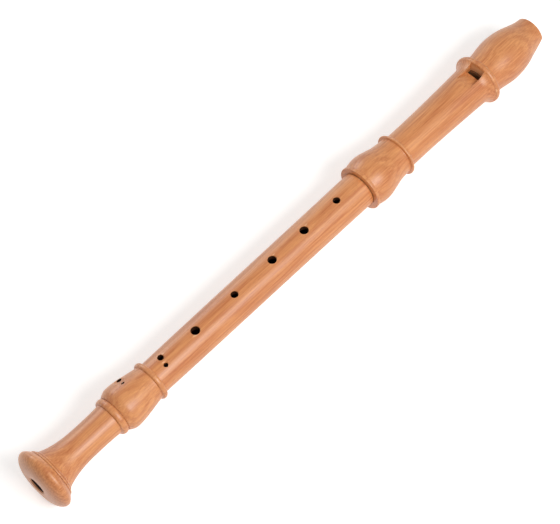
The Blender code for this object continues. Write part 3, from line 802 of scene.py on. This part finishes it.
def waxed_pearwood(name, s, pith, start):
    """Steamed pearwood, turned, sanded fine and waxed.

    Close even wood: faint growth lines, short fine streaks along the bore,
    tiny pores, and a satin wax film. Grooves and recesses are darkened, partly by wax
    gathered there and partly by painted shade; convex edges are paler, partly from rubbed
    wear and partly from a painted highlight.
    """
    made, tree, shader, coords = empty_material(name)
    # Growth rings about a pith line well outside the billet
    billet = add_node(tree, "ShaderNodeMapping", None,
                      {"Location": (start, -pith[0], -pith[1]),
                       "Scale": (0.12, 1.0, 1.0)},
                      {"Vector": coords}).outputs["Vector"]
    rings = add_node(tree, "ShaderNodeTexWave",
                     {"wave_type": "RINGS", "rings_direction": "X"},
                     {"Scale": WAVE_SPACING / s.ring_spacing, "Distortion": 2.2,
                      "Detail": 3.0, "Detail Scale": 0.55, "Detail Roughness": 0.55},
                     {"Vector": billet}).outputs[1]
    noises = []
    for place, scale, detail, roughness in (
            # Streaks 1 mm wide and 25 mm long: the real ones are finer than a pixel
            (start, (40.0, 1000.0, 1000.0), 4.0, 0.6),
            # Pores 0.25 mm wide and 3 mm long
            (0.0, (330.0, 4000.0, 4000.0), 2.0, 0.5),
            # Slow drift of tone, a hand's breadth long
            (start, (14.0, 90.0, 90.0), 2.0, 0.5)):
        space = add_node(tree, "ShaderNodeMapping", None,
                         {"Location": (place, 0.0, 0.0), "Scale": scale},
                         {"Vector": coords}).outputs["Vector"]
        noises.append(add_node(tree, "ShaderNodeTexNoise", None,
                               {"Scale": 1.0, "Detail": detail,
                                "Roughness": roughness},
                               {"Vector": space}).outputs[0])
    streaks, pores, drift = noises
    # How light the wood is: a little from the rings, more from streaks and drift
    figure = add_node(tree, "ShaderNodeMath", {"operation": "MULTIPLY"},
                      {1: 0.16}, {0: rings}).outputs[0]
    for layer, low, high, share in ((streaks, 0.32, 0.68, 0.52),
                                    (drift, 0.3, 0.7, 0.32)):
        part = add_node(tree, "ShaderNodeMapRange", None,
                        {"From Min": low, "From Max": high, "To Max": share},
                        {"Value": layer}).outputs[0]
        figure = add_node(tree, "ShaderNodeMath", {"operation": "ADD"},
                          None, {0: figure, 1: part}).outputs[0]
    wood = add_node(tree, "ShaderNodeMix", {"data_type": "RGBA"},
                    {6: srgb(s.pear_dark), 7: srgb(s.pear_light)},
                    {0: figure}).outputs[2]
    # Ambient occlusion: painted shade in recesses, partly standing for wax in grooves
    groove_wax_and_shade = add_node(tree, "ShaderNodeAmbientOcclusion", {"samples": 4},
                      {"Distance": 0.0015}).outputs["AO"]
    # Pointiness, used for the painted highlight and wear on convex edges
    edges = add_node(tree, "ShaderNodeNewGeometry").outputs["Pointiness"]
    for source, low, high, least, most, hue in (
            (pores, 0.60, 0.72, 0.0, 0.40, s.pear_pore_and_shade),
            # Wax gathers in the grooves, and painted shade darkens every recess within 1.5
            # mm of a facing wall
            (groove_wax_and_shade, 0.30, 0.90, 0.50, 0.0, s.pear_pore_and_shade),
            # Edges of rings and beads are rubbed paler by handling, and a painted
            # highlight lightens every convex edge
            (edges, 0.515, 0.60, 0.0, 0.60, s.pear_wear_and_highlight)):
        mask = add_node(tree, "ShaderNodeMapRange", None,
                        {"From Min": low, "From Max": high,
                         "To Min": least, "To Max": most},
                        {"Value": source}).outputs[0]
        wood = add_node(tree, "ShaderNodeMix", {"data_type": "RGBA"},
                        {7: srgb(hue)}, {0: mask, 6: wood}).outputs[2]
    rough = add_node(tree, "ShaderNodeMapRange", None,
                     {"To Min": 0.36, "To Max": 0.52}, {"Value": streaks}).outputs[0]
    bump = add_node(tree, "ShaderNodeBump", None,
                    {"Strength": 0.25, "Distance": 0.00006}, {"Height": pores}).outputs[0]
    feed(tree, shader, {"IOR": 1.5, "Coat Weight": 0.45, "Coat Roughness": 0.36},
         {"Base Color": wood, "Roughness": rough, "Normal": bump})
    return made


def oiled_bore(s):
    """Reamed wood soaked with oil: dark, satin, with its grain along the bore."""
    made, tree, shader, coords = empty_material("oiled_reamed_pearwood")
    stretch = add_node(tree, "ShaderNodeMapping", None,
                       {"Scale": (60.0, 900.0, 900.0)},
                       {"Vector": coords}).outputs["Vector"]
    grain = add_node(tree, "ShaderNodeTexNoise", None,
                     {"Scale": 1.0, "Detail": 3.0}, {"Vector": stretch}).outputs[0]
    wood = add_node(tree, "ShaderNodeMix", {"data_type": "RGBA"},
                    {6: srgb(s.bore_dark), 7: srgb(s.bore)}, {0: grain}).outputs[2]
    feed(tree, shader, {"Roughness": 0.5}, {"Base Color": wood})
    return made


def turned_skins(context, joint):
    """Waxed outside and oiled inside of one turned joint."""
    wood = context.scene.recorder_wood
    return [waxed_pearwood("waxed_pearwood_" + joint, wood, *BILLETS[joint]),
            oiled_bore(wood)]


def bare_cedar(s):
    """Pencil cedar left bare so that it drinks moisture: straight dark lines, matt."""
    made, tree, shader, coords = empty_material("bare_planed_cedar")
    lines_space = add_node(tree, "ShaderNodeMapping", None,
                           {"Rotation": (radians(25.0), 0.0, 0.0),
                            "Scale": (0.1, 1.0, 1.0)},
                           {"Vector": coords}).outputs["Vector"]
    lines = add_node(tree, "ShaderNodeTexWave",
                     {"wave_type": "BANDS", "bands_direction": "Y"},
                     {"Scale": WAVE_SPACING / CEDAR_SPACING, "Distortion": 1.5,
                      "Detail": 2.0},
                     {"Vector": lines_space}).outputs[0]
    # Fibres 0.4 mm wide and 11 mm long
    fibre_space = add_node(tree, "ShaderNodeMapping", None,
                           {"Scale": (90.0, 2500.0, 2500.0)},
                           {"Vector": coords}).outputs["Vector"]
    fibre = add_node(tree, "ShaderNodeTexNoise", None,
                     {"Scale": 1.0, "Detail": 3.0}, {"Vector": fibre_space}).outputs[0]
    wood = add_node(tree, "ShaderNodeMix", {"data_type": "RGBA"},
                    {6: srgb(s.block_dark), 7: srgb(s.block)}, {0: lines}).outputs[2]
    wood = add_node(tree, "ShaderNodeMix",
                    {"data_type": "RGBA", "blend_type": "MULTIPLY"},
                    {0: 0.22}, {6: wood, 7: fibre}).outputs[2]
    bump = add_node(tree, "ShaderNodeBump", None,
                    {"Strength": 0.3, "Distance": 0.00008}, {"Height": fibre}).outputs[0]
    feed(tree, shader, {"Roughness": 0.7}, {"Base Color": wood, "Normal": bump})
    return made


def greased_cork(s):
    """Sheet cork, glued round the tenon, sanded and greased: grains and dark specks."""
    made, tree, shader, coords = empty_material("sanded_greased_cork")
    # Grains about 0.8 mm across
    grains = add_node(tree, "ShaderNodeTexVoronoi", None,
                      {"Scale": 1250.0, "Randomness": 1.0}, {"Vector": coords})
    specks = add_node(tree, "ShaderNodeTexNoise", None,
                      {"Scale": 700.0, "Detail": 4.0, "Roughness": 0.65},
                      {"Vector": coords}).outputs[0]
    tone = add_node(tree, "ShaderNodeMix", {"data_type": "RGBA"},
                    {6: srgb(s.cork_dark), 7: srgb(s.cork)},
                    {0: grains.outputs["Color"]}).outputs[2]
    speck_mask = add_node(tree, "ShaderNodeMapRange", None,
                          {"From Min": 0.58, "From Max": 0.66, "To Max": 0.8},
                          {"Value": specks}).outputs[0]
    tone = add_node(tree, "ShaderNodeMix", {"data_type": "RGBA"},
                    {7: srgb(s.cork_speck)}, {0: speck_mask, 6: tone}).outputs[2]
    bump = add_node(tree, "ShaderNodeBump", None,
                    {"Strength": 0.5, "Distance": 0.0001},
                    {"Height": grains.outputs["Distance"]}).outputs[0]
    feed(tree, shader, {"Roughness": 0.62}, {"Base Color": tone, "Normal": bump})
    return made


def seen_straight(tree):
    """1 for what the camera or a gloss sees, 0 for what lights the object."""
    path = add_node(tree, "ShaderNodeLightPath")
    return add_node(tree, "ShaderNodeMath", {"operation": "MAXIMUM"}, None,
                    {0: path.outputs["Is Camera Ray"],
                     1: path.outputs["Is Glossy Ray"]}).outputs[0]


def paper_sweep(s):
    """Matt white background paper, shown bright to the camera, shadows kept."""
    made, tree, shader, coords = empty_material("matt_paper_sweep")
    fibre = add_node(tree, "ShaderNodeTexNoise", None,
                     {"Scale": 900.0, "Detail": 2.0}, {"Vector": coords}).outputs[0]
    bump = add_node(tree, "ShaderNodeBump", None,
                    {"Strength": 0.05, "Distance": 0.0002}, {"Height": fibre}).outputs[0]
    feed(tree, shader, {"Base Color": srgb(s.floor_colour), "Roughness": 0.9,
                        "Specular IOR Level": 0.2}, {"Normal": bump})
    lift = add_node(tree, "ShaderNodeMath", {"operation": "MULTIPLY"},
                    {1: PAPER_GLOW}, {0: seen_straight(tree)}).outputs[0]
    glow = add_node(tree, "ShaderNodeEmission", None,
                    {"Color": WHITE}, {"Strength": lift}).outputs[0]
    both = add_node(tree, "ShaderNodeAddShader", None, None,
                    {0: shader.outputs[0], 1: glow}).outputs[0]
    feed(tree, tree.nodes["Material Output"], None, {"Surface": both})
    return made


# Operators ------------------------------------------------------------------

class RECORDER_OT_foot(bpy.types.Operator):
    """Turns the foot joint, bores it and drills its double hole"""
    bl_idname = "recorder.foot"
    bl_label = "Foot joint"

    def execute(self, context):
        s = context.scene.recorder_foot
        outline = foot_outline(s)
        floor = FOOT_LENGTH - (LOWER_TENON_LENGTH - SHOULDER_GAP + SOCKET_END_GAP)
        socket_r = LOWER_TENON_R + TENON_CLEARANCE
        points = outline + [(FOOT_LENGTH, socket_r), (floor, socket_r),
                            (floor, FOOT_BORE_TOP_R), (BORE_MOUTH_EASE, BELL_BORE_R),
                            (0.0, BELL_BORE_R + BORE_MOUTH_EASE)]
        foot = lathe("foot", [(BELL_X + x, r) for x, r in soften(points)])
        combine(foot, scoop(BELL_X + SCOOP_AT, radius_on(outline, SCOOP_AT),
                            SCOOP_SIZE, -s.turn))
        combine(foot, joined(hole_drills(FOOT_HOLE_PLACES, s, outline, BELL_X,
                                         context.scene.recorder_middle.rim, -s.turn)))
        finish_piece(foot, "foot_turned_bell", "foot", "foot_joint",
                     turned_skins(context, "foot"),
                     inside_of(outline, BELL_X, FOOT_INSIDE_DEPTH,
                               BELL_X + BELL_FACE_DEPTH))
        return {"FINISHED"}


class RECORDER_OT_middle(bpy.types.Operator):
    """Turns the middle joint with its tenons and drills the finger and thumb holes"""
    bl_idname = "recorder.middle"
    bl_label = "Middle joint"

    def execute(self, context):
        s = context.scene.recorder_middle
        thickness = context.scene.recorder_block.cork_thickness
        outline = middle_outline(s)
        low_end = -LOWER_TENON_LENGTH
        top_end = MIDDLE_LENGTH + UPPER_TENON_LENGTH
        lower = tenon_groove(LOWER_CORK_AT, LOWER_CORK_LENGTH, LOWER_TENON_R, -1, 0.0,
                             thickness)
        upper = tenon_groove(UPPER_CORK_AT, UPPER_CORK_LENGTH, UPPER_TENON_R, 1,
                             MIDDLE_LENGTH, thickness)
        points = ([(low_end, LOWER_TENON_R)] + lower[::-1] + [(0.0, LOWER_TENON_R)]
                  + outline + [(MIDDLE_LENGTH, UPPER_TENON_R)] + upper
                  + [(top_end, UPPER_TENON_R), (top_end, MIDDLE_BORE_TOP_R),
                     (low_end, MIDDLE_BORE_LOW_R)])
        middle = lathe("middle", [(MIDDLE_LOW_X + x, r) for x, r in soften(points)])
        drills = hole_drills(HOLE_PLACES, s, outline, MIDDLE_LOW_X, s.rim)
        drills.append(drill(MIDDLE_LOW_X + THUMB_HOLE_AT, 0.0, s.thumb_hole_radius,
                            radius_on(outline, THUMB_HOLE_AT), s.rim, pi))
        combine(middle, joined(drills))
        whole = [(low_end, LOWER_TENON_R), (-FINE_LEAN, LOWER_TENON_R)] + outline + [
            (MIDDLE_LENGTH + FINE_LEAN, UPPER_TENON_R), (top_end, UPPER_TENON_R)]
        finish_piece(middle, "middle_bored_tube", "middle", "middle_joint",
                     turned_skins(context, "middle"),
                     inside_of(whole, MIDDLE_LOW_X, MIDDLE_INSIDE_DEPTH))
        return {"FINISHED"}


class RECORDER_OT_head(bpy.types.Operator):
    """Turns the head joint and cuts its windway, window, labium and beak"""
    bl_idname = "recorder.head"
    bl_label = "Head joint"

    def execute(self, context):
        s = context.scene.recorder_head
        socket = UPPER_TENON_LENGTH - SHOULDER_GAP + SOCKET_END_GAP
        socket_r = UPPER_TENON_R + TENON_CLEARANCE
        points = head_outline(s) + [(HEAD_LENGTH, HEAD_BORE_R), (socket, HEAD_BORE_R),
                                    (socket, socket_r), (0.0, socket_r)]
        head = lathe("head", [(HEAD_LOW_X + x, r) for x, r in soften(points)])
        roof_r = (context.scene.recorder_block.radius - WINDWAY_FLOOR_CUT
                  + WINDWAY_HEIGHT)
        windway = windway_cutter("windway", WINDWAY_CUT_FROM, roof_r,
                                 TIP_X - WINDOW_FROM_TIP - s.window_length / 2,
                                 TIP_X + CUT_PAST, s.windway_width)
        combine(head, windway)
        combine(head, slab("window", window_outline(s), s.windway_width))
        combine(head, slab("beak_back", beak_cut_outline(), BOARD_WIDTH))
        finish_piece(head, "head_with_beak", "head", "head_joint",
                     turned_skins(context, "head"),
                     lambda face: int(from_axis(face) < HEAD_BORE_R + HEAD_BORE_MARGIN))
        return {"FINISHED"}


class RECORDER_OT_block(bpy.types.Operator):
    """Turns the block, planes its windway floor and cuts it with the beak"""
    bl_idname = "recorder.block"
    bl_label = "Block"

    def execute(self, context):
        s = context.scene.recorder_block
        start = TIP_X - WINDOW_FROM_TIP
        pick()
        bpy.ops.mesh.primitive_cylinder_add(
            vertices=TURNING_STEPS, radius=s.radius, depth=WINDOW_FROM_TIP,
            location=((start + TIP_X) / 2, 0.0, AXIS_Z), rotation=(0.0, pi / 2, 0.0))
        block = settle()
        choose(block, "EDGE", lambda edge: abs(
            edge.verts[0].co.x - edge.verts[1].co.x) < END_EDGE_LIMIT)
        bpy.ops.mesh.bevel(offset=BLOCK_BEVEL, segments=2, affect="EDGES")
        bpy.ops.object.mode_set(mode="OBJECT")
        floor = windway_cutter("windway_floor", s.radius - WINDWAY_FLOOR_CUT,
                               s.radius + CUT_PAST, start - CUT_PAST, TIP_X + CUT_PAST,
                               context.scene.recorder_head.windway_width)
        combine(block, floor)
        combine(block, slab("block_back", beak_cut_outline(), BOARD_WIDTH))
        finish_piece(block, "block_of_cedar", "block", "block",
                     [bare_cedar(context.scene.recorder_wood)])
        return {"FINISHED"}


class RECORDER_OT_corks(bpy.types.Operator):
    """Laps both tenons with cork"""
    bl_idname = "recorder.corks"
    bl_label = "Tenon corks"

    def execute(self, context):
        thickness = context.scene.recorder_block.cork_thickness
        skin = greased_cork(context.scene.recorder_wood)
        for name, x0, length, tenon_r, body in (
                ("upper", MIDDLE_TOP_X + UPPER_CORK_AT, UPPER_CORK_LENGTH,
                 UPPER_TENON_R, "upper_ring"),
                ("lower", MIDDLE_LOW_X - LOWER_CORK_AT - LOWER_CORK_LENGTH,
                 LOWER_CORK_LENGTH, LOWER_TENON_R, "lower_ring")):
            outer = tenon_r + TENON_CLEARANCE - CORK_CLEARANCE
            inner = outer - thickness
            points = [(x0, outer), (x0 + length / 2, outer), (x0 + length, outer),
                      (x0 + length, inner), (x0, inner)]
            cork = lathe(name, soften(points))
            finish_piece(cork, name + "_cork_lapping", body, name + "_tenon_cork",
                         [skin])
        return {"FINISHED"}


class RECORDER_OT_stage(bpy.types.Operator):
    """Lays the paper sweep and sets up the soft light and the camera"""
    bl_idname = "recorder.stage"
    bl_label = "Studio"

    def execute(self, context):
        scene = context.scene
        s = scene.recorder_stage
        pick()
        bpy.ops.mesh.primitive_plane_add(size=PAPER_SIZE, location=(0.0, 0.0, FLOOR_Z))
        floor = settle()
        floor.name = "paper_sweep"
        floor.data.materials.append(paper_sweep(s))

        scene.world = bpy.data.worlds.new("white_room")
        scene.world.use_nodes = True
        tree = scene.world.node_tree
        level = add_node(tree, "ShaderNodeMapRange", None,
                         {"To Min": s.surround, "To Max": 1.0},
                         {"Value": seen_straight(tree)}).outputs[0]
        feed(tree, tree.nodes["Background"], {"Color": WHITE}, {"Strength": level})

        aim = Vector((0.0, 0.0, AXIS_Z))
        for name, place, power in (("front_soft_box", FRONT_BOX_AT, s.key_power),
                                   ("back_soft_box", BACK_BOX_AT, s.back_power)):
            bpy.ops.object.light_add(type="AREA", location=place)
            lamp = context.active_object
            lamp.name = name
            lamp.data.shape = "RECTANGLE"
            lamp.data.size, lamp.data.size_y = s.box_size
            lamp.data.energy = power
            lamp.rotation_euler = (aim - place).to_track_quat("-Z", "Y").to_euler()

        # The view's own directions along the instrument and across it
        along = Vector((cos(VIEW_TURN), -sin(VIEW_TURN) * sin(VIEW_TILT),
                        sin(VIEW_TURN) * cos(VIEW_TILT)))
        across = Vector((0.0, cos(VIEW_TILT), sin(VIEW_TILT)))
        right = along * cos(VIEW_ROLL) - across * sin(VIEW_ROLL)
        up = along * sin(VIEW_ROLL) + across * cos(VIEW_ROLL)
        eye = Vector((VIEW_FOOT_X, -VIEW_DISTANCE * sin(VIEW_TILT),
                      AXIS_Z + VIEW_DISTANCE * cos(VIEW_TILT)))
        bpy.ops.object.camera_add()
        camera = context.active_object
        camera.name = "photo_camera"
        camera.matrix_world = Matrix.Translation(eye) @ Matrix(
            (right, up, right.cross(up))).transposed().to_4x4()
        camera.data.lens = VIEW_LENS_MM
        camera.data.sensor_fit = "HORIZONTAL"
        camera.data.sensor_width = 36.0
        camera.data.clip_start = 0.01
        scene.camera = camera
        scene.view_settings.view_transform = "Standard"
        return {"FINISHED"}


# Each group of settings, where the scene keeps it, and the operators it serves
LISTING = (
    (RecorderWood, "recorder_wood", ()),
    (RecorderFoot, "recorder_foot", (RECORDER_OT_foot,)),
    (RecorderMiddle, "recorder_middle", (RECORDER_OT_middle,)),
    (RecorderHead, "recorder_head", (RECORDER_OT_head,)),
    (RecorderBlock, "recorder_block", (RECORDER_OT_block, RECORDER_OT_corks)),
    (RecorderStage, "recorder_stage", (RECORDER_OT_stage,)),
)


class RECORDER_PT_panel(bpy.types.Panel):
    """Lists the pieces and their settings"""
    bl_idname = "RECORDER_PT_panel"
    bl_label = "Recorder"
    bl_space_type = "VIEW_3D"
    bl_region_type = "UI"
    bl_category = "Recorder"

    def draw(self, context):
        for group, place, operators in LISTING:
            box = self.layout.box()
            for operator in operators:
                box.operator(operator.bl_idname)
            for key in group.__annotations__:
                box.prop(getattr(context.scene, place), key)


def register():
    """Registers the settings, the operators and the panel."""
    for group, place, operators in LISTING:
        bpy.utils.register_class(group)
        setattr(bpy.types.Scene, place, PointerProperty(type=group))
        for operator in operators:
            bpy.utils.register_class(operator)
    bpy.utils.register_class(RECORDER_PT_panel)


def unregister():
    """Takes the panel, the operators and the settings away again."""
    bpy.utils.unregister_class(RECORDER_PT_panel)
    for group, place, operators in reversed(LISTING):
        for operator in reversed(operators):
            bpy.utils.unregister_class(operator)
        delattr(bpy.types.Scene, place)
        bpy.utils.unregister_class(group)


def main():
    """Makes every piece and the studio."""
    register()
    bpy.ops.recorder.foot()
    bpy.ops.recorder.middle()
    bpy.ops.recorder.head()
    bpy.ops.recorder.block()
    bpy.ops.recorder.corks()
    bpy.ops.recorder.stage()
    bpy.context.view_layer.update()


if __name__ == "__main__":
    main()
